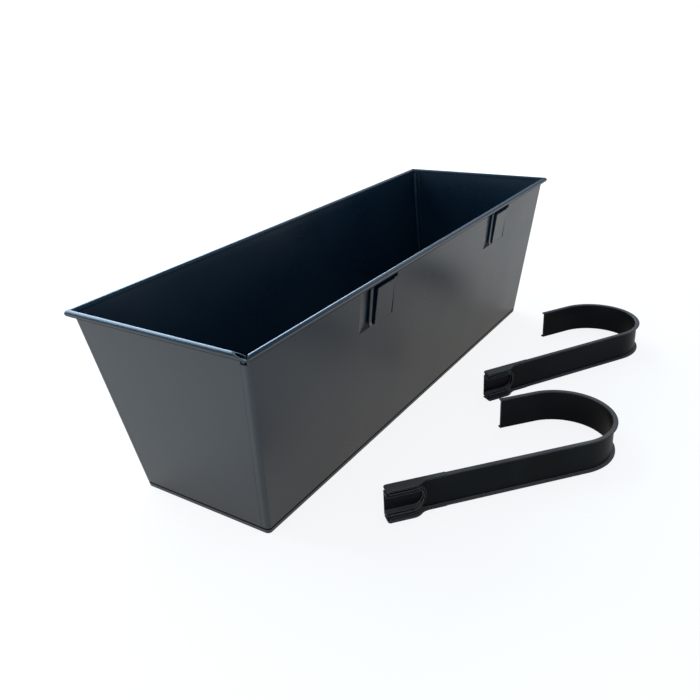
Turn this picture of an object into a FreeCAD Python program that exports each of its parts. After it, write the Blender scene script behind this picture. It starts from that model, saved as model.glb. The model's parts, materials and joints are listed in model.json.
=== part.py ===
import FreeCAD, Part
import math
import os
from types import SimpleNamespace

import Sketcher
from FreeCAD import Placement, Rotation, Vector

# Railing planter: a tapered trough folded from sheet steel, with a rolled rim, a seamed-in base and two
# pressed sockets in its railing side, and a pair of loose hooks that lie on the floor beside it.
# Millimetres. The origin is the middle of the base on the floor, +X runs along the trough, the railing
# side faces -Y and +Z is up.

DRIVING_SIZES = (
    # trough
    ("rim_length", 600.0),
    ("rim_width", 200.0),
    ("trough_height", 182.0),
    ("wall_flare", 27.0),
    ("sheet_thickness", 0.8),
    ("corner_radius", 4.0),
    ("rim_roll_diameter", 5.6),
    ("roll_step", 0.25),
    ("rim_relief", 1.6),
    ("roll_clearance", 0.3),
    ("roll_end_cut", 17.0),
    ("roll_end_drop", 4.0),
    ("corner_notch", 4.7),
    ("base_lip_height", 3.7),
    ("base_groove", 1.7),
    ("groove_depth", 2.2),
    ("lap_width", 3.4),
    ("lap_gap", 0.1),
    ("seam_gap", 0.15),
    # sockets in the railing side
    ("socket_spacing", 266.0),
    ("socket_shift", 27.7),
    ("slit_drop", 11.7),
    ("slit_length", 37.4),
    ("slit_overrun", 3.0),
    ("slit_height", 4.6),
    ("tongue_height", 35.0),
    ("tongue_clearance", 0.3),
    ("tongue_lean", 1.2),
    ("strip_width", 4.2),
    ("strip_set_in", 1.3),
    ("strip_joggle", 3.5),
    ("ramp_run", 19.0),
    ("ramp_depth", 3.9),
    ("ramp_hip", 5.0),
    # hooks
    ("hook_width", 32.7),
    ("hook_depth", 4.8),
    ("web_thickness", 1.8),
    ("flange_thickness", 1.6),
    ("edge_chamfer", 0.7),
    ("tip_chamfer", 0.5),
    ("bend_radius", 46.7),
    ("long_leg", 192.6),
    ("short_leg", 39.0),
    ("pocket_length", 36.0),
    ("pocket_flare", 6.0),
    ("flare_length", 22.0),
    ("flare_blend", 16.0),
    ("flange_reach", 2.0),
    ("flange_end_radius", 2.0),
    ("bead_groove", 2.8),
    ("horseshoe_width", 2.8),
    ("horseshoe_setback", 0.8),
    ("bridge_length", 3.0),
    ("lip_thickness", 1.6),
    ("tongue_slack", 0.8),
    ("tongue_reach", 24.0),
    # where the loose hooks lie, from the rim's edge
    ("near_hook_x", -208.1),
    ("near_hook_standoff", 49.7),
    ("near_hook_turn", -41.1),
    ("far_hook_x", 22.2),
    ("far_hook_standoff", 40.0),
    ("far_hook_turn", -32.3),
)


class Size:
    """A length worked out from the sheet: its number, and the formula that ties it to the cells."""

    def __init__(self, number, formula=None):
        self.number = float(number)
        self.formula = formula or repr(self.number)

    def _with(self, other, sign, number):
        return Size(number, "({} {} {})".format(self.formula, sign, as_size(other).formula))

    def __add__(self, other):
        return self._with(other, "+", self.number + as_size(other).number)

    def __sub__(self, other):
        return self._with(other, "-", self.number - as_size(other).number)

    def __mul__(self, other):
        return self._with(other, "*", self.number * as_size(other).number)

    def __truediv__(self, other):
        return self._with(other, "/", self.number / as_size(other).number)

    def __neg__(self):
        return Size(-self.number, "(0 - {})".format(self.formula))


def as_size(value):
    return value if isinstance(value, Size) else Size(value)


doc = FreeCAD.newDocument("railing_planter")
sheet = doc.addObject("Spreadsheet::Sheet", "dims")
for row, (alias, value) in enumerate(DRIVING_SIZES, start=1):
    cell = "A{}".format(row)
    sheet.set(cell, str(value))
    sheet.setAlias(cell, alias)
doc.recompute()
d = SimpleNamespace(**{alias: Size(sheet.get(alias), "dims." + alias) for alias, value in DRIVING_SIZES})

ZERO = Size(0.0)
ALONG_X = Rotation(Vector(0, 1, 0), 90)
ALONG_Y = Rotation(Vector(1, 1, 1), -120)
UPRIGHT = Rotation(Vector(1, 0, 0), 90)
SIDE_VIEW = Rotation(Vector(1, 1, 1), 120)
HALF_TURN = Rotation(Vector(0, 0, 1), 180)


# Document objects bound to the sheet

def bind(target, name, value):
    target.setExpression(name, as_size(value).formula)


def place(target, x=ZERO, y=ZERO, z=ZERO, rotation=Rotation()):
    target.Placement = Placement(Vector(as_size(x).number, as_size(y).number, as_size(z).number), rotation)
    for axis, value in zip("xyz", (x, y, z)):
        bind(target, "Placement.Base." + axis, value)


def box(name, x_range, y_range, z_range):
    block = doc.addObject("Part::Box", name)
    for side, (low, high) in zip(("Length", "Width", "Height"), (x_range, y_range, z_range)):
        bind(block, side, as_size(high) - low)
    place(block, x_range[0], y_range[0], z_range[0])
    return block


def cylinder(name, radius, length):
    rod = doc.addObject("Part::Cylinder", name)
    bind(rod, "Radius", radius)
    bind(rod, "Height", length)
    return rod


def set_wedge(block, y_range, x_first, z_first, x_last, z_last):
    """Sizes a block whose X and Z ranges change evenly from one end of its Y range to the other."""
    ranges = (("Y", y_range), ("X", x_first), ("Z", z_first), ("X2", x_last), ("Z2", z_last))
    for axis, (low, high) in ranges:
        setattr(block, axis + "min", as_size(low).number)
        setattr(block, axis + "max", as_size(high).number)
    for axis, (low, high) in ranges:
        bind(block, axis + "min", low)
        bind(block, axis + "max", high)


def wedge(name, *ranges):
    block = doc.addObject("Part::Wedge", name)
    set_wedge(block, *ranges)
    return block


def middle_range(half):
    return (-half, half)


def cut(name, base, tool):
    result = doc.addObject("Part::Cut", name)
    result.Base = base
    result.Tool = tool
    result.Refine = True
    return result


def common(name, *shapes):
    result = doc.addObject("Part::MultiCommon", name)
    result.Shapes = list(shapes)
    result.Refine = True
    return result


def fuse(name, *shapes):
    result = doc.addObject("Part::MultiFuse", name)
    result.Shapes = list(shapes)
    result.Refine = True
    return result


def extrude(name, profile, length):
    solid = doc.addObject("Part::Extrusion", name)
    solid.Base = profile
    solid.DirMode = "Normal"
    solid.Solid = True
    bind(solid, "LengthFwd", length)
    return solid


LINE, ARC = "line", "arc"


def arc_leaving(start, end, heading):
    """The arc from start to end that leaves start along heading, and its heading at the end."""
    chord = end - start
    side = Vector(-heading.y, heading.x, 0)
    radius = chord.dot(chord) / (2.0 * side.dot(chord))
    centre = start + side * radius
    turn = math.copysign(1.0, radius)
    first = math.atan2(start.y - centre.y, start.x - centre.x)
    last = math.atan2(end.y - centre.y, end.x - centre.x)
    sweep = ((last - first) * turn) % (2.0 * math.pi) * turn
    middle = centre + Vector(math.cos(first + sweep / 2), math.sin(first + sweep / 2), 0) * abs(radius)
    end_heading = Vector(-math.sin(last), math.cos(last), 0) * turn
    return Part.Arc(start, middle, end), end_heading


def profile(name, corners, closed=True):
    """A sketch through corners, each (x, y, kind of the edge that leaves it).

    Every corner is dimensioned from the sketch's origin, and an arc is tangent to the edge before it.
    """
    sketch = doc.addObject("Sketcher::SketchObject", name)
    points = [Vector(as_size(x).number, as_size(y).number, 0) for x, y, kind in corners]
    edge_count = len(corners) if closed else len(corners) - 1
    heading = None
    ends = []
    for index in range(edge_count):
        start = points[index]
        finish = points[(index + 1) % len(points)]
        if corners[index][2] == ARC:
            curve, heading = arc_leaving(start, finish, heading)
        else:
            curve = Part.LineSegment(start, finish)
            heading = (finish - start).normalize()
        edge = sketch.addGeometry(curve)
        starts_first = (sketch.getPoint(edge, 1) - start).Length < (sketch.getPoint(edge, 2) - start).Length
        ends.append((edge, 1, 2) if starts_first else (edge, 2, 1))
    for index, (x, y, kind) in enumerate(corners):
        edge, position = ends[index][:2] if index < edge_count else ends[-1][::2]
        for axis, (direction, value) in zip((-2, -1), (("DistanceX", as_size(x)), ("DistanceY", as_size(y)))):
            if value.number == 0.0:
                sketch.addConstraint(Sketcher.Constraint("PointOnObject", edge, position, axis))
            else:
                dimension = Sketcher.Constraint(direction, -1, 1, edge, position, value.number)
                number = sketch.addConstraint(dimension)
                sketch.setExpression("Constraints[{}]".format(number), value.formula)
        if index < edge_count and (closed or index > 0):
            before = ends[index - 1]
            joint = "Tangent" if kind == ARC else "Coincident"
            sketch.addConstraint(Sketcher.Constraint(joint, before[0], before[2], edge, position))
    return sketch


# Trough: the faces of the folded walls

roll_radius = d.rim_roll_diameter / 2
wall_top = d.trough_height - roll_radius
wall_set_in = d.rim_roll_diameter - d.roll_step - d.sheet_thickness
wall_lean = (d.wall_flare - wall_set_in) / wall_top
groove_top = d.base_lip_height + d.base_groove
step_top = groove_top + d.sheet_thickness
inner_layer = d.sheet_thickness + d.lap_gap
wide = d.rim_length + d.rim_width
tall = d.trough_height * 2


def tub(name, inset):
    """The space inside the walls, drawn in by inset from their outer faces, with rounded upright corners."""
    half_length = d.rim_length / 2 - inset
    half_width = d.rim_width / 2 - inset
    body = doc.addObject("PartDesign::Body", name)
    block = body.newObject("PartDesign::AdditiveWedge", name + "_block")
    set_wedge(
        block, (ZERO, wall_top),
        middle_range(half_length - d.wall_flare), middle_range(half_width - d.wall_flare),
        middle_range(half_length - wall_set_in), middle_range(half_width - wall_set_in),
    )
    doc.recompute()
    corners = []
    for number, edge in enumerate(block.Shape.Edges, start=1):
        if abs(edge.Vertexes[0].Y - edge.Vertexes[1].Y) > wall_top.number / 2:
            corners.append("Edge{}".format(number))
    rounding = body.newObject("PartDesign::Fillet", name + "_rounding")
    rounding.Base = (block, corners)
    bind(rounding, "Radius", d.corner_radius - inset)
    body.Tip = rounding
    body.Placement = Placement(Vector(), UPRIGHT)
    return body


def between_sides(name, inset):
    """All that lies between two planes parallel to the long walls and inset from their outer faces."""
    at_base = d.rim_width / 2 - d.wall_flare - inset
    at_top = d.rim_width / 2 - wall_set_in - inset
    across = middle_range(wide)
    slab = wedge(name, (ZERO, wall_top), across, middle_range(at_base), across, middle_range(at_top))
    slab.Placement = Placement(Vector(), UPRIGHT)
    return slab


tub_outside = tub("tub_outside", ZERO)
tub_outer_inside = tub("tub_outer_inside", d.sheet_thickness)
tub_inner_outside = tub("tub_inner_outside", inner_layer)
tub_inside = tub("tub_inside", inner_layer + d.sheet_thickness)
tub_hem_inside = tub("tub_hem_inside", d.groove_depth - d.lap_gap)
tub_skirt_outside = tub("tub_skirt_outside", d.groove_depth)
tub_skirt_inside = tub("tub_skirt_inside", d.groove_depth + d.sheet_thickness)
outer_layer_sheet = cut("outer_layer_sheet", tub_outside, tub_outer_inside)
inner_layer_sheet = cut("inner_layer_sheet", tub_inner_outside, tub_inside)
both_layers = cut("both_layers", tub_outside, tub_inside)
skirt_sheet = cut("skirt_sheet", tub_skirt_outside, tub_skirt_inside)
long_step_ring = cut("long_step_ring", tub_outside, tub_skirt_inside)
end_step_ring = cut("end_step_ring", tub_inner_outside, tub_skirt_inside)
hem_ring = cut("hem_ring", tub_outside, tub_hem_inside)


def rim_roll(name, length, mitre, x, y, rotation):
    """The hollow roll along one edge of the rim, cut back at the corners by its mitre block."""
    rod = cylinder(name + "_rod", roll_radius, length)
    bore = cylinder(name + "_bore", roll_radius - d.sheet_thickness, length)
    for round_bar in (rod, bore):
        place(round_bar, x, y, wall_top, rotation)
    return common(name, cut(name + "_tube", rod, bore), mitre)


def mitre_block(name, length, offset, turn):
    depth = d.rim_roll_diameter * 2
    half = length / 2 - d.rim_relief / 2
    z_range = (wall_top - depth, wall_top + depth)
    shorter = (depth - half, half - depth)
    block = wedge(name, (-offset, depth - offset), (-half, half), z_range, shorter, z_range)
    block.Placement = Placement(Vector(), Rotation(Vector(0, 0, 1), turn))
    return block


# Long sides: each wraps round its corners and laps over the ends

def long_side(name, sign, left_gap, right_gap):
    """A long wall whose wraps stop left_gap and right_gap below the rolls of the two ends."""
    y_half = (-wide, ZERO) if sign < 0 else (ZERO, wide)
    wrap = between_sides(name + "_wrap_limit", d.corner_radius + d.lap_width)
    bend = between_sides(name + "_bend_limit", d.corner_radius)
    skin = common(
        name + "_skin",
        cut(name + "_wrapped", outer_layer_sheet, wrap),
        box(name + "_skin_band", (-wide, wide), y_half, (groove_top, tall)),
    )
    step = common(
        name + "_step",
        cut(name + "_step_ring", long_step_ring, bend),
        box(name + "_step_band", (-wide, wide), y_half, (groove_top, step_top)),
    )
    skirt = common(
        name + "_skirt",
        cut(name + "_skirt_ring", skirt_sheet, bend),
        box(name + "_skirt_band", (-wide, wide), y_half, (d.sheet_thickness, step_top)),
    )
    folded = fuse(name + "_folded", skin, step, skirt)
    clear_x = d.rim_length / 2 - wall_set_in - d.corner_radius / 2
    under_roll = d.trough_height - d.rim_roll_diameter
    notches = fuse(
        name + "_rim_notches",
        box(name + "_left_notch", (-wide, -clear_x), (-wide, wide), (under_roll - left_gap, tall)),
        box(name + "_right_notch", (clear_x, wide), (-wide, wide), (under_roll - right_gap, tall)),
    )
    roll = rim_roll(
        name + "_roll", d.rim_length,
        mitre_block(name + "_mitre", d.rim_length, d.rim_width / 2, 0 if sign < 0 else 180),
        -d.rim_length / 2, (d.rim_width / 2 - roll_radius) * sign, ALONG_X,
    )
    return fuse(name, cut(name + "_notched", folded, notches), roll)


# Short ends: flush with the sides, with joggled edges tucked behind the wraps

def short_end(name, sign):
    x_half = (-wide, ZERO) if sign < 0 else (ZERO, wide)
    face_inset = d.corner_radius + d.lap_width + d.seam_gap
    face = common(
        name + "_face", both_layers,
        between_sides(name + "_face_limit", face_inset),
        box(name + "_face_band", x_half, (-wide, wide), (groove_top, tall)),
    )
    edge_limit = between_sides(name + "_edge_limit", d.corner_radius + d.lap_gap)
    edges = common(
        name + "_edges", inner_layer_sheet, edge_limit,
        box(name + "_edge_band", x_half, (-wide, wide), (groove_top, tall)),
    )
    step = common(
        name + "_step", end_step_ring, edge_limit,
        box(name + "_step_band", x_half, (-wide, wide), (groove_top, step_top)),
    )
    skirt = common(
        name + "_skirt", skirt_sheet, edge_limit,
        box(name + "_skirt_band", x_half, (-wide, wide), (d.sheet_thickness, step_top)),
    )
    hollow = common(
        name + "_hollow", tub_outer_inside,
        between_sides(name + "_hollow_limit", face_inset + d.sheet_thickness),
        box(name + "_hollow_band", x_half, (-wide, wide), (step_top, tall)),
    )
    roll = rim_roll(
        name + "_roll", d.rim_width,
        mitre_block(name + "_mitre", d.rim_width, d.rim_length / 2, -90 if sign < 0 else 90),
        (d.rim_length / 2 - roll_radius) * sign, -d.rim_width / 2, ALONG_Y,
    )
    pressed = cut(name + "_pressed", fuse(name + "_blank", face, edges, step, skirt), hollow)
    return fuse(name, pressed, roll)


def left_end(name):
    """The left end, whose hollow roll is cut off aslant at its corner with the railing side."""
    corner = d.rim_width / 2
    across = (-wide, wide)
    deep = (d.trough_height - d.roll_end_drop, tall)
    shallow = (d.trough_height, tall)
    slant = wedge(name + "_slant", (-corner, d.roll_end_cut - corner), across, deep, across, shallow)
    return cut(name, short_end(name + "_uncut", -1), slant)


# Base: a flat pan whose hemmed lip stands outside the wall skirts

def base_pan(name):
    lip = common(
        name + "_lip", hem_ring,
        box(name + "_lip_band", (-wide, wide), (-wide, wide), (ZERO, d.base_lip_height)),
    )
    floor = common(
        name + "_floor", tub_outside,
        box(name + "_floor_band", (-wide, wide), (-wide, wide), (ZERO, d.sheet_thickness)),
    )
    return fuse(name, lip, floor)


# Sockets: a tongue under a slit, with a plain cut on one side and a set-in strip and half louvre on the
# other. Their axes lie in the wall, with +Y going in and +Z up it.

tongue_half_width = d.hook_width / 2 - d.flange_thickness - d.tongue_clearance
slit_half = d.slit_length / 2
strip_edge = -slit_half - d.strip_width
tongue_top = d.trough_height - d.slit_drop


def ramp(name, face_depth, start):
    """The louvre's wedge from depth start to its deepest edge, for a face that lies face_depth in."""
    excess = (face_depth - start) / d.ramp_depth
    shallow_edge = strip_edge - d.ramp_run * (excess + 1)
    z_first = (-d.tongue_height - d.ramp_hip * excess, d.slit_height)
    z_last = (d.ramp_hip - d.tongue_height, d.slit_height)
    y_range = (start, face_depth + d.ramp_depth)
    return wedge(name, y_range, (shallow_edge, strip_edge), z_first, (strip_edge, strip_edge), z_last)


def set_in_strip(name):
    """The strip of wall between the tongue's gap and the louvre, joggled inwards and rooted at both ends."""
    front = d.sheet_thickness / 8
    back = d.sheet_thickness - front
    deep_back = d.strip_set_in + d.sheet_thickness
    low, high = -d.tongue_height, d.slit_height
    root = d.sheet_thickness * 2
    side_view = profile(name + "_side_view", (
        (front, low - root, LINE), (front, low, LINE),
        (d.strip_set_in, low + d.strip_joggle, LINE), (d.strip_set_in, high - d.strip_joggle, LINE),
        (front, high, LINE), (front, high + root, LINE), (back, high + root, LINE), (back, high, LINE),
        (deep_back, high - d.strip_joggle, LINE), (deep_back, low + d.strip_joggle, LINE),
        (back, low, LINE), (back, low - root, LINE),
    ))
    place(side_view, x=strip_edge, rotation=SIDE_VIEW)
    return extrude(name, side_view, d.strip_width)


def tongue(name):
    """The springy tongue, rooted at its lower end and leaning out of the wall towards its top."""
    front = d.sheet_thickness / 8
    back = d.sheet_thickness - front
    low = -d.tongue_height
    root = low - d.sheet_thickness * 2
    side_view = profile(name + "_side_view", (
        (front, root, LINE), (front, low, LINE), (-d.tongue_lean, ZERO, LINE),
        (d.sheet_thickness - d.tongue_lean, ZERO, LINE), (back, low, LINE), (back, root, LINE),
    ))
    place(side_view, x=-tongue_half_width, rotation=SIDE_VIEW)
    return extrude(name, side_view, tongue_half_width * 2)


def set_in_wall(target, middle):
    y = -(d.rim_width / 2 - d.wall_flare + wall_lean * tongue_top)
    lean = Rotation(Vector(1, 0, 0), math.degrees(math.atan(wall_lean.number)))
    place(target, middle, y, tongue_top, lean)
    target.setExpression("Placement.Rotation.Angle", "atan({})".format(wall_lean.formula))
    return target


def socket(name, middle):
    """The louvre that one socket adds behind the wall, what it cuts out of the wall, its strip and tongue."""
    through = (-d.sheet_thickness * 2, d.sheet_thickness * 2)
    plain_edge = d.hook_width / 2 + d.tongue_clearance
    voids = fuse(
        name + "_voids",
        box(name + "_slit", (-slit_half, slit_half + d.slit_overrun), through, (ZERO, d.slit_height)),
        box(name + "_window", (strip_edge, plain_edge), through, (-d.tongue_height, d.slit_height)),
        ramp(name + "_ramp", ZERO, -d.sheet_thickness),
    )
    louvre = ramp(name + "_back", d.sheet_thickness, d.sheet_thickness / 2)
    forms = (louvre, voids, set_in_strip(name + "_strip"), tongue(name + "_tongue"))
    return [set_in_wall(form, middle) for form in forms]


def railing_side(name):
    near = socket("near_socket", d.socket_shift - d.socket_spacing / 2)
    far = socket("far_socket", d.socket_shift + d.socket_spacing / 2)
    plain = long_side(name + "_plain", -1, d.corner_notch, d.roll_clearance)
    backed = fuse(name + "_backed", plain, near[0], far[0])
    lanced = cut(name + "_lanced", backed, fuse(name + "_lances", near[1], far[1]))
    return fuse(name, lanced, *near[2:], *far[2:])


# Hooks: a flanged strip bent into a J, with a pocket for the socket's tongue at the end of its long leg

flange_middle = d.flange_thickness / 2
pocket_middle = d.hook_width / 2
web_face = d.hook_depth - d.web_thickness
boss_radius = pocket_middle - d.flange_thickness - d.bead_groove
mouth_radius = boss_radius - d.horseshoe_width
crown_centre = d.pocket_length - boss_radius
lip_face = d.horseshoe_setback - d.pocket_flare
lip_back = lip_face + d.lip_thickness
pocket_floor = lip_back + d.sheet_thickness + d.tongue_slack


def hook_strip(name):
    """The flanged strip: a long leg, a half-round bend and a short leg, all of one section."""
    edge, tip = d.edge_chamfer, d.tip_chamfer
    top = d.hook_width
    flange_top = d.flange_thickness
    flange_bottom = top - d.flange_thickness
    section = profile(name + "_section", (
        (tip, ZERO, LINE), (d.hook_depth - edge, ZERO, LINE),
        (d.hook_depth, edge, LINE), (d.hook_depth, top - edge, LINE),
        (d.hook_depth - edge, top, LINE), (tip, top, LINE),
        (ZERO, top - tip, LINE), (ZERO, flange_bottom + tip, LINE), (tip, flange_bottom, LINE),
        (web_face, flange_bottom, LINE), (web_face, flange_top, LINE),
        (tip, flange_top, LINE), (ZERO, flange_top - tip, LINE), (ZERO, tip, LINE),
    ))
    section.Placement = Placement(Vector(), SIDE_VIEW)
    bend_middle = d.hook_depth + d.bend_radius
    bend = doc.addObject("Part::Revolution", name + "_bend")
    bend.Source = section
    bend.Axis = Vector(0, 0, 1)
    bend.Base = Vector(0, bend_middle.number, 0)
    bind(bend, "Base.y", bend_middle)
    bend.Angle = 180
    bend.Solid = True
    place(bend, x=d.long_leg)
    short = extrude(name + "_short_leg", section, d.short_leg)
    place(short, d.long_leg, bend_middle * 2, ZERO, HALF_TURN)
    return fuse(name, extrude(name + "_long_leg", section, d.long_leg), bend, short)


def flared(name, setback, height, thickness):
    """A plate whose front edge, setback behind the flange tips, swings out to the pocket's flare."""
    flare_start = d.flare_length + d.flare_blend
    flare_middle = d.flare_length + d.flare_blend / 2
    rounding = d.flange_end_radius
    end = -d.flange_reach
    front = setback - d.pocket_flare
    plan = profile(name + "_plan", (
        (flare_start + d.flare_blend, setback, LINE), (flare_start, setback, ARC),
        (flare_middle, setback - d.pocket_flare / 2, ARC), (d.flare_length, front, LINE),
        (end + rounding, front, ARC), (end, front + rounding, LINE),
        (end, d.hook_depth - rounding, ARC), (end + rounding, d.hook_depth, LINE),
        (flare_start + d.flare_blend, d.hook_depth, LINE),
    ))
    place(plan, z=height)
    return extrude(name, plan, thickness)


def horseshoe(name, radius, start, depth, length):
    """A block with a rounded end towards the bend, standing out from the web from one depth by length."""
    outline = profile(name + "_outline", (
        (start, pocket_middle - radius, LINE), (crown_centre, pocket_middle - radius, ARC),
        (crown_centre, pocket_middle + radius, LINE), (start, pocket_middle + radius, LINE),
    ))
    place(outline, y=depth, rotation=UPRIGHT)
    return extrude(name, outline, length)


def rounded_end(name):
    """All that lies within the hook's width, with rounded corners at the open end of the pocket."""
    end = -d.flange_reach
    past_bend = d.long_leg + (d.bend_radius + d.hook_depth) * 2
    radius = d.flange_thickness + d.bead_groove / 2
    outline = profile(name + "_outline", (
        (past_bend, ZERO, LINE), (end + radius, ZERO, ARC), (end, radius, LINE),
        (end, d.hook_width - radius, ARC), (end + radius, d.hook_width, LINE),
        (past_bend, d.hook_width, LINE),
    ))
    place(outline, y=past_bend, rotation=UPRIGHT)
    return extrude(name, outline, past_bend * 2)


def hook(name, x, standoff, turn):
    end = -d.flange_reach
    past_end = end * 2
    root = d.hook_depth - d.web_thickness / 2
    horseshoe_block = fuse(
        name + "_horseshoe_block",
        horseshoe(name + "_boss", boss_radius, end, root, root + d.pocket_flare),
        box(name + "_bridges", (end, end + d.bridge_length), (-d.pocket_flare, lip_back),
            (flange_middle, d.hook_width - flange_middle)),
    )
    front_form = flared(name + "_front_form", d.horseshoe_setback, ZERO, d.hook_width)
    body = fuse(
        name + "_body",
        hook_strip(name + "_strip"),
        flared(name + "_lower_flange", ZERO, ZERO, d.flange_thickness),
        flared(name + "_upper_flange", ZERO, d.hook_width - d.flange_thickness, d.flange_thickness),
        common(name + "_horseshoe", horseshoe_block, front_form),
    )
    slot_half = tongue_half_width + d.tongue_clearance / 2
    hollows = fuse(
        name + "_hollows",
        horseshoe(name + "_mouth", mouth_radius, past_end, web_face, web_face + d.pocket_flare * 2),
        box(name + "_tongue_slot", (past_end, d.tongue_reach), (lip_back, pocket_floor),
            (pocket_middle - slot_half, pocket_middle + slot_half)),
    )
    finished = common(name, cut(name + "_hollowed", body, hollows), rounded_end(name + "_end"))
    place(finished, x, -d.rim_width / 2 - standoff, ZERO, Rotation(Vector(0, 0, 1), turn.number))
    finished.setExpression("Placement.Rotation.Angle", turn.formula + " * 1 deg")
    return finished


nodes = [
    railing_side("railing_side_panel"),
    long_side("front_panel", 1, d.roll_clearance, d.roll_clearance),
    left_end("left_end_panel"),
    short_end("right_end_panel", 1),
    base_pan("base_pan"),
    hook("near_hook", d.near_hook_x, d.near_hook_standoff, d.near_hook_turn),
    hook("far_hook", d.far_hook_x, d.far_hook_standoff, d.far_hook_turn),
]
for node in nodes:
    node.Label = node.Name
doc.recompute()

for item in doc.Objects:
    if "Invalid" in item.State or "Error" in item.State:
        raise RuntimeError("{} did not compute".format(item.Name))
for node in nodes:
    if node.Shape.isNull() or not node.Shape.isValid() or len(node.Shape.Solids) != 1:
        raise RuntimeError("{} is not one valid solid".format(node.Label))

os.makedirs("parts", exist_ok=True)
for node in nodes:
    node.Shape.exportStep("parts/{}.step".format(node.Label))
    bounds = node.Shape.BoundBox
    print(node.Label, round(node.Shape.Volume), "mm3", [round(v, 1) for v in (
        bounds.XMin, bounds.XMax, bounds.YMin, bounds.YMax, bounds.ZMin, bounds.ZMax)])
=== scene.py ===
import json
import math

import bmesh
import bpy
from mathutils import Matrix, Vector


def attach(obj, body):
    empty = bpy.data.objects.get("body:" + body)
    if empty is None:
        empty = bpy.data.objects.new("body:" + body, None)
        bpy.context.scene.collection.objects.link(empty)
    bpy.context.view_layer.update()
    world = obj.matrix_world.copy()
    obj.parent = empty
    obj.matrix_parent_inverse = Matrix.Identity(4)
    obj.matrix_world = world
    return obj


# A railing planter on a white studio floor: a powder-coated sheet-steel trough and two loose moulded hooks.
# Lengths are in metres, and colours are linear.

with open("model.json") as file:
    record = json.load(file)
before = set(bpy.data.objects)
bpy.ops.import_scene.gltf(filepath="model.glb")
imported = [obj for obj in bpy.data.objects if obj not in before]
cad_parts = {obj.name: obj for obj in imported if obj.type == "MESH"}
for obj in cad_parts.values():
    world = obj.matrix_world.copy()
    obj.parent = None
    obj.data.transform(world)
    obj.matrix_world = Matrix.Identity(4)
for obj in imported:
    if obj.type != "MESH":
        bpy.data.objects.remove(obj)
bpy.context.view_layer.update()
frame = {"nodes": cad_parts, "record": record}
scene = bpy.context.scene

TROUGH_NODES = frame["record"]["behaviour"]["bodies"]["trough"]
HOOK_NODES = ("near_hook", "far_hook")
WHITE = (1.0, 1.0, 1.0, 1.0)


# Shader building blocks

FINE_DETAIL = 2.0
NOISE_ROUGHNESS = 0.5
BEVEL_SAMPLES = 6


class Nodes:
    """A material's or world's node tree, with one short call per node."""

    def __init__(self, tree):
        self.tree = tree
        self.tree.nodes.clear()

    def add(self, kind, settings=None, **inputs):
        """A node of that kind. Inputs are numbers, colours or the output sockets of other nodes."""
        node = self.tree.nodes.new(kind)
        for name, value in (settings or {}).items():
            setattr(node, name, value)
        for name, value in inputs.items():
            socket = self.socket(node, name)
            if isinstance(value, bpy.types.NodeSocket):
                self.tree.links.new(value, socket)
            else:
                socket.default_value = value
        return node

    @staticmethod
    def socket(node, name):
        """An input by its name written with underscores, or by its number, as in_0."""
        if name.startswith("in_"):
            return node.inputs[int(name[3:])]
        return next(s for s in node.inputs if s.name.replace(" ", "_").lower() == name and s.enabled)

    def maths(self, operation, first, second):
        return self.add("ShaderNodeMath", {"operation": operation}, in_0=first, in_1=second).outputs[0]

    def remap(self, value, low, high, to_low, to_high):
        """A smooth change from to_low to to_high as the value goes from low to high."""
        node = self.add("ShaderNodeMapRange", {"interpolation_type": "SMOOTHSTEP"}, value=value,
                        from_min=low, from_max=high, to_min=to_low, to_max=to_high)
        return node.outputs["Result"]

    def within(self, value, low, high, fade):
        """1 between low and high, falling to 0 over fade outside them."""
        above = self.remap(value, low - fade, low, 0.0, 1.0)
        below = self.remap(value, high, high + fade, 1.0, 0.0)
        return self.maths("MULTIPLY", above, below)

    def noise(self, place, size, detail=FINE_DETAIL):
        """Noise with patches about size metres across."""
        node = self.add("ShaderNodeTexNoise", vector=place, scale=1.0 / size, detail=detail,
                        roughness=NOISE_ROUGHNESS)
        return node.outputs["Fac"]

    def blend(self, share, first, second):
        """The first colour where the share is 0 and the second where it is 1."""
        node = self.add("ShaderNodeMix", {"data_type": "RGBA"}, in_0=share, in_6=first, in_7=second)
        return node.outputs[2]

    def blend_shaders(self, share, first, second):
        return self.add("ShaderNodeMixShader", in_0=share, in_1=first, in_2=second).outputs[0]

    def bump(self, height, depth, normal):
        """The normal with a bump on it whose full height is depth metres."""
        node = self.add("ShaderNodeBump", strength=1.0, distance=depth, height=height, normal=normal)
        return node.outputs[0]

    def place(self):
        return self.add("ShaderNodeTexCoord").outputs["Object"]

    def normal(self):
        return self.add("ShaderNodeNewGeometry").outputs["Normal"]

    def upward(self, vector):
        return self.add("ShaderNodeSeparateXYZ", vector=vector).outputs["Z"]

    def from_camera(self):
        return self.add("ShaderNodeLightPath").outputs["Is Camera Ray"]


def new_material(name):
    material = bpy.data.materials.new(name)
    material.use_nodes = True
    return material, Nodes(material.node_tree)


def surface(nodes, shader):
    output = nodes.add("ShaderNodeOutputMaterial")
    nodes.tree.links.new(shader, output.inputs["Surface"])


def edge_share(nodes, radius, full_at):
    """A share from 0 on flat faces to 1 on edges, where a rounded normal turns away, and that normal."""
    rounded = nodes.add("ShaderNodeBevel", {"samples": BEVEL_SAMPLES}, radius=radius).outputs[0]
    facing = nodes.add("ShaderNodeVectorMath", {"operation": "DOT_PRODUCT"},
                       in_0=rounded, in_1=nodes.normal())
    return nodes.remap(facing.outputs["Value"], 1.0, full_at, 0.0, 1.0), rounded


# Powder coat of the trough

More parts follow.
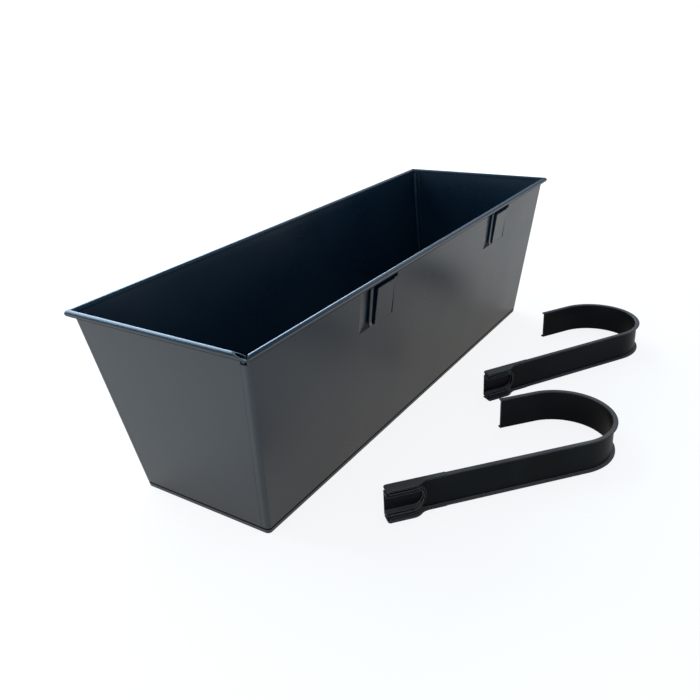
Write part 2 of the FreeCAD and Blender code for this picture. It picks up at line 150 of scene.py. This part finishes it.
POWDER_COAT = (0.004, 0.012, 0.020, 1.0)
POWDER_COAT_PALE = (0.006, 0.016, 0.025, 1.0)
COAT_EDGE = (0.020, 0.030, 0.042, 1.0)
# Painted shade: near-black coat colour for the base groove, the underside of the rim's rolls and the
# sockets' cut edges
PAINTED_SHADE_COAT = (0.001, 0.001, 0.001, 1.0)
COAT_EDGE_RADIUS = 0.0006
COAT_EDGE_FULL = 0.75
CLOUD_SIZE = 0.11
CLOUD_DETAIL = 3.0
CLOUD_RANGE = (0.3, 0.7)
WEAR_SIZE = 0.012
WEAR_RANGE = (0.35, 0.75)
WEAR_SHARE = (0.15, 0.8)
SHEEN_RANGE = (0.25, 0.75)
COAT_ROUGHNESS = (0.28, 0.35)
SPECKLE_SIZE = 0.0016
SPECKLE_RANGE = (0.3, 0.7)
SPECKLE_ROUGHNESS = (-0.02, 0.02)
WAVE_SIZE = 0.16
WAVE_DETAIL = 1.0
WAVE_DEPTH = 0.0012
PEEL_SIZE = 0.0011
PEEL_DEPTH = 0.000003
COAT_SPECULAR = 0.75

# Lowest and highest point, and the fade outside them, of the base groove, the rim and the hook sockets,
# where shade is painted
GROOVE_BAND = (0.00365, 0.0054, 0.00005)
RIM_BAND = (0.1755, 0.1900, 0.0005)
SOCKET_BAND = (0.1300, 0.1740, 0.0005)

# Where the normal's upward part fades out the underside of the rim, and fades in the sockets' cut edges
UNDERSIDE = (-0.5, -0.15)
CUT_EDGE = (0.3, 0.6)


def painted_shade_share(nodes, place):
    """Painted shade: 1 in the base groove, under the rim and on the sockets' cut edges, and 0 elsewhere."""
    height = nodes.upward(place)
    upward = nodes.upward(nodes.normal())
    underside = nodes.remap(upward, *UNDERSIDE, 1.0, 0.0)
    rim_shade = nodes.maths("MULTIPLY", nodes.within(height, *RIM_BAND), underside)
    level = nodes.remap(upward, *CUT_EDGE, 0.0, 1.0)
    cut_edge_shade = nodes.maths("MULTIPLY", nodes.within(height, *SOCKET_BAND), level)
    shade_above_groove = nodes.maths("MAXIMUM", rim_shade, cut_edge_shade)
    return nodes.maths("MAXIMUM", shade_above_groove, nodes.within(height, *GROOVE_BAND))


def powder_coat():
    """Satin charcoal powder coat with orange peel and faint clouds, worn on edges, with painted shade,
    near-black and fully rough, in the base groove, under the rim and on the sockets' cut edges.
    """
    material, nodes = new_material("charcoal_powder_coat")
    place = nodes.place()
    clouds = nodes.noise(place, CLOUD_SIZE, CLOUD_DETAIL)
    edges, rounded = edge_share(nodes, COAT_EDGE_RADIUS, COAT_EDGE_FULL)
    painted_shade = painted_shade_share(nodes, place)
    body = nodes.blend(nodes.remap(clouds, *CLOUD_RANGE, 0.0, 1.0), POWDER_COAT, POWDER_COAT_PALE)
    patches = nodes.remap(nodes.noise(place, WEAR_SIZE), *WEAR_RANGE, *WEAR_SHARE)
    worn = nodes.blend(nodes.maths("MULTIPLY", edges, patches), body, COAT_EDGE)
    # Painted shade: near-black colour in the base groove, under the rim and on the sockets' cut edges, which
    # are also made fully rough
    colour = nodes.blend(painted_shade, worn, PAINTED_SHADE_COAT)
    sheen = nodes.remap(clouds, *SHEEN_RANGE, *COAT_ROUGHNESS)
    speckle = nodes.remap(nodes.noise(place, SPECKLE_SIZE), *SPECKLE_RANGE, *SPECKLE_ROUGHNESS)
    roughness = nodes.maths("MAXIMUM", nodes.maths("ADD", sheen, speckle), painted_shade)
    waves = nodes.bump(nodes.noise(place, WAVE_SIZE, WAVE_DETAIL), WAVE_DEPTH, rounded)
    peel = nodes.bump(nodes.noise(place, PEEL_SIZE), PEEL_DEPTH, waves)
    shader = nodes.add("ShaderNodeBsdfPrincipled", base_color=colour, roughness=roughness, normal=peel,
                       specular_ior_level=COAT_SPECULAR)
    surface(nodes, shader.outputs[0])
    return material


# Moulded plastic of the hooks

MOULDED_BLACK = (0.005, 0.006, 0.006, 1.0)
MOULDED_GREY = (0.009, 0.010, 0.010, 1.0)
# Pale edge colour of the hooks: edge rubbing and a painted highlight along every edge
RUBBED_EDGE_AND_HIGHLIGHT = (0.150, 0.140, 0.130, 1.0)
# Painted top light: a lighter colour on the hooks' up-facing surfaces
PAINTED_TOP_LIGHT = (0.140, 0.102, 0.078, 1.0)
MOULDED_EDGE_RADIUS = 0.0009
MOULDED_EDGE_FULL = 0.82
FLOW_SIZE = 0.05
FLOW_DETAIL = 3.0
FLOW_RANGE = (0.3, 0.7)
MOULDED_ROUGHNESS = (0.30, 0.40)
EDGE_POLISH = -0.06
TOP_LIGHT_FACING = (0.4, 0.95)
TOP_LIGHT_SHARE = (0.6, 1.0)
GRAIN_SIZE = 0.0006
GRAIN_DEPTH = 0.000012
MOULDED_SPECULAR = 0.08


def moulded_black():
    """Satin black plastic with a fine moulded grain, edges lightened by rubbing and a painted highlight, and
    painted top light on what faces up.
    """
    material, nodes = new_material("moulded_black")
    place = nodes.place()
    flow = nodes.noise(place, FLOW_SIZE, FLOW_DETAIL)
    edges, rounded = edge_share(nodes, MOULDED_EDGE_RADIUS, MOULDED_EDGE_FULL)
    body = nodes.blend(nodes.remap(flow, *FLOW_RANGE, 0.0, 1.0), MOULDED_BLACK, MOULDED_GREY)
    # Edges lightened all along: edge rubbing and a painted highlight
    rubbed_and_highlit = nodes.blend(edges, body, RUBBED_EDGE_AND_HIGHLIGHT)
    # Painted top light: lighter where the rounded normal faces up, patchy with the flow noise
    level = nodes.remap(nodes.upward(rounded), *TOP_LIGHT_FACING, 0.0, 1.0)
    painted_top_light = nodes.maths("MULTIPLY", level, nodes.remap(flow, *FLOW_RANGE, *TOP_LIGHT_SHARE))
    colour = nodes.blend(painted_top_light, rubbed_and_highlit, PAINTED_TOP_LIGHT)
    sheen = nodes.remap(flow, *FLOW_RANGE, *MOULDED_ROUGHNESS)
    roughness = nodes.maths("ADD", sheen, nodes.maths("MULTIPLY", edges, EDGE_POLISH))
    grain = nodes.bump(nodes.noise(place, GRAIN_SIZE), GRAIN_DEPTH, rounded)
    shader = nodes.add("ShaderNodeBsdfPrincipled", base_color=colour, roughness=roughness, normal=grain,
                       specular_ior_level=MOULDED_SPECULAR)
    surface(nodes, shader.outputs[0])
    return material


def finish_nodes(names, material):
    for name in names:
        slots = frame["nodes"][name].data.materials
        slots.clear()
        slots.append(material)


# Rim corners: paint bridges the mitre of the rolls, and the long wall's wrap carries on up under them.
# A corner's end and side are 1 or -1, along X and Y. The corner nearest the camera, (-1, -1), stays open.

CLOSED_CORNERS = ((1, 1), (1, -1), (-1, 1))
RIM_LENGTH = 0.600
RIM_WIDTH = 0.200
RIM_HEIGHT = 0.182
ROLL_RADIUS = 0.0028
SHEET = 0.0008
WALL_SET_IN = 0.00455
CORNER_RADIUS = 0.0040
WRAP_LOW = 0.1755
WRAP_HIGH = 0.1788
WRAP_STEPS = 10
BRIDGE_RADIUS = 0.00275
BRIDGE_MERIDIANS = 24
BRIDGE_RINGS = 16


def add_wrap(mesh, end, side):
    """A quarter ring in line with the wall's rounded corner."""
    centre_x = RIM_LENGTH / 2 - WALL_SET_IN - CORNER_RADIUS
    centre_y = RIM_WIDTH / 2 - WALL_SET_IN - CORNER_RADIUS
    inside = CORNER_RADIUS - SHEET
    outline = ((inside, WRAP_LOW), (CORNER_RADIUS, WRAP_LOW),
               (CORNER_RADIUS, WRAP_HIGH), (inside, WRAP_HIGH))
    sections = []
    for step in range(WRAP_STEPS + 1):
        angle = math.pi / 2 * step / WRAP_STEPS
        section = []
        for radius, height in outline:
            x = centre_x + radius * math.cos(angle)
            y = centre_y + radius * math.sin(angle)
            section.append(mesh.verts.new((end * x, side * y, height)))
        sections.append(section)
    mesh.faces.new(sections[0])
    mesh.faces.new(sections[-1])
    for here, after in zip(sections, sections[1:]):
        for first in range(len(outline)):
            second = (first + 1) % len(outline)
            mesh.faces.new((here[first], here[second], after[second], after[first]))


def add_bridge(mesh, end, side):
    """A round bridge between the ends of the two rolls."""
    x = RIM_LENGTH / 2 - ROLL_RADIUS
    y = RIM_WIDTH / 2 - ROLL_RADIUS
    place = Matrix.Translation((end * x, side * y, RIM_HEIGHT - ROLL_RADIUS))
    bridge = bmesh.ops.create_uvsphere(mesh, u_segments=BRIDGE_MERIDIANS, v_segments=BRIDGE_RINGS,
                                       radius=BRIDGE_RADIUS, matrix=place)
    for vert in bridge["verts"]:
        for face in vert.link_faces:
            face.smooth = True


def rim_corner(name, end, side, material):
    """A wrap and a bridge as one piece that rides on the trough."""
    corner = bmesh.new()
    add_wrap(corner, end, side)
    add_bridge(corner, end, side)
    bmesh.ops.recalc_face_normals(corner, faces=corner.faces)
    mesh = bpy.data.meshes.new(name)
    corner.to_mesh(mesh)
    corner.free()
    mesh.materials.append(material)
    piece = bpy.data.objects.new(name, mesh)
    scene.collection.objects.link(piece)
    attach(piece, "trough")


# Floor and room. The camera sees a white room and a white floor that keeps the object's shadow.
# Reflections show a dimmer floor and, above a thin white horizon, a dark blue ceiling.
# Scattered light meets a plain white floor and a dim blue room.

FLOOR_SIDE = 24.0
FLOOR_GLOW = 0.86
FLOOR_GLOW_RISE = (0.5, 1.1)
FLOOR_SHADE = (0.18, 0.155, 0.135, 1.0)
MIRRORED_GLOW = (0.40, 0.345, 0.28, 1.0)
MIRRORED_SHADE = (0.46, 0.38, 0.32, 1.0)
FLOOR_WHITE = (0.80, 0.76, 0.72, 1.0)
ROOM_COLOUR = (0.40, 0.68, 1.0, 1.0)
ROOM_STRENGTH = 0.85
CEILING = (0.010, 0.150, 0.300, 1.0)
HORIZON = (0.0, 0.08)


def seen_directly(nodes):
    """1 for rays from the camera, or by way of a reflection or glass, and 0 for light that scatters."""
    path = nodes.add("ShaderNodeLightPath").outputs
    seen = nodes.maths("MAXIMUM", path["Is Camera Ray"], path["Is Glossy Ray"])
    return nodes.maths("MAXIMUM", seen, path["Is Transmission Ray"])


def glowing(nodes, colour, strength, shade):
    """A surface that shines by itself and takes the rest of its light, and its shadows, from the lamps."""
    shine = nodes.add("ShaderNodeEmission", color=colour, strength=strength).outputs[0]
    lit = nodes.add("ShaderNodeBsdfDiffuse", color=shade).outputs[0]
    return nodes.add("ShaderNodeAddShader", in_0=shine, in_1=lit).outputs[0]


def studio_floor():
    half = FLOOR_SIDE / 2
    mesh = bpy.data.meshes.new("floor")
    corners = [(-half, -half, 0.0), (half, -half, 0.0), (half, half, 0.0), (-half, half, 0.0)]
    mesh.from_pydata(corners, [], [(0, 1, 2, 3)])
    floor = bpy.data.objects.new("floor", mesh)
    scene.collection.objects.link(floor)
    material, nodes = new_material("white_floor")
    distance = nodes.add("ShaderNodeVectorMath", {"operation": "LENGTH"}, in_0=nodes.place())
    glow = nodes.remap(distance.outputs["Value"], *FLOOR_GLOW_RISE, FLOOR_GLOW, 1.0)
    seen = glowing(nodes, WHITE, glow, FLOOR_SHADE)
    mirrored = glowing(nodes, MIRRORED_GLOW, 1.0, MIRRORED_SHADE)
    white = nodes.add("ShaderNodeBsdfDiffuse", color=FLOOR_WHITE).outputs[0]
    indirect = nodes.blend_shaders(seen_directly(nodes), white, mirrored)
    surface(nodes, nodes.blend_shaders(nodes.from_camera(), indirect, seen))
    mesh.materials.append(material)


def room_light():
    world = bpy.data.worlds.new("room")
    scene.world = world
    world.use_nodes = True
    nodes = Nodes(world.node_tree)
    height = nodes.upward(nodes.add("ShaderNodeTexCoord").outputs["Generated"])
    mirrored = nodes.blend(nodes.remap(height, *HORIZON, 0.0, 1.0), WHITE, CEILING)
    backdrop = nodes.blend(nodes.from_camera(), mirrored, WHITE)
    shown = nodes.add("ShaderNodeBackground", color=backdrop, strength=1.0).outputs[0]
    dim = nodes.add("ShaderNodeBackground", color=ROOM_COLOUR, strength=ROOM_STRENGTH).outputs[0]
    output = nodes.add("ShaderNodeOutputWorld")
    nodes.tree.links.new(nodes.blend_shaders(seen_directly(nodes), dim, shown), output.inputs["Surface"])


# Lamps: name, place, target, width, height, colour and watts.
# The window is behind the trough, the panel past its right end, and the strips lie low on the camera's side.

SOFT_BOXES = (
    ("rear_window", (0.95, 1.9, 1.4), (0.95, 0.0, 1.4), 4.1, 2.7, (0.62, 0.81, 1.0), 200.0),
    ("end_panel", (2.4, -0.1, 1.6), (0.0, -0.1, 1.6), 3.1, 1.2, (0.95, 0.92, 1.0), 12.0),
    ("left_strip", (-1.4, -0.3, 0.13), (-0.3, 0.0, 0.10), 1.2, 0.24, (1.0, 0.90, 0.78), 6.0),
    ("right_strip", (1.3, -1.5, 0.13), (0.2, -0.1, 0.10), 1.2, 0.24, (1.0, 0.93, 0.80), 2.5),
)


def soft_box(name, place, target, width, height, colour, power):
    """A rectangular lamp that the camera doesn't see, turned to face the target."""
    lamp = bpy.data.lights.new(name, "AREA")
    lamp.shape = "RECTANGLE"
    lamp.size = width
    lamp.size_y = height
    lamp.color = colour
    lamp.energy = power
    holder = bpy.data.objects.new(name, lamp)
    holder.location = place
    holder.rotation_euler = (Vector(target) - Vector(place)).to_track_quat("-Z", "Y").to_euler()
    holder.visible_camera = False
    scene.collection.objects.link(holder)


# Camera, solved from the corners of the trough in the photograph

CAMERA_AZIMUTH = math.radians(-55.377)
CAMERA_ELEVATION = math.radians(25.116)
CAMERA_ROLL = math.radians(-3.591)
CAMERA_PLACE = (-0.62619, -0.41045, 0.39164)
FOCAL_PIXELS = 720.2
IMAGE_PIXELS = 700.0
SENSOR_MILLIMETRES = 36.0
NEAREST_SEEN = 0.01


def studio_camera():
    back = Vector((math.sin(CAMERA_AZIMUTH) * math.cos(CAMERA_ELEVATION),
                   -math.cos(CAMERA_AZIMUTH) * math.cos(CAMERA_ELEVATION),
                   math.sin(CAMERA_ELEVATION)))
    level = Vector((math.cos(CAMERA_AZIMUTH), math.sin(CAMERA_AZIMUTH), 0.0))
    rise = back.cross(level)
    right = level * math.cos(CAMERA_ROLL) + rise * math.sin(CAMERA_ROLL)
    up = rise * math.cos(CAMERA_ROLL) - level * math.sin(CAMERA_ROLL)
    lens = bpy.data.cameras.new("camera")
    lens.sensor_width = SENSOR_MILLIMETRES
    lens.lens = SENSOR_MILLIMETRES * FOCAL_PIXELS / IMAGE_PIXELS
    lens.clip_start = NEAREST_SEEN
    camera = bpy.data.objects.new("camera", lens)
    turn = Matrix((right, up, back)).transposed().to_4x4()
    camera.matrix_world = Matrix.Translation(CAMERA_PLACE) @ turn
    scene.collection.objects.link(camera)
    scene.camera = camera


# The scene

coat = powder_coat()
finish_nodes(TROUGH_NODES, coat)
for number, (end, side) in enumerate(CLOSED_CORNERS, 1):
    rim_corner("rim_corner_%d" % number, end, side, coat)
finish_nodes(HOOK_NODES, moulded_black())
studio_floor()
room_light()
for lamp_values in SOFT_BOXES:
    soft_box(*lamp_values)
studio_camera()
scene.view_settings.view_transform = "Standard"
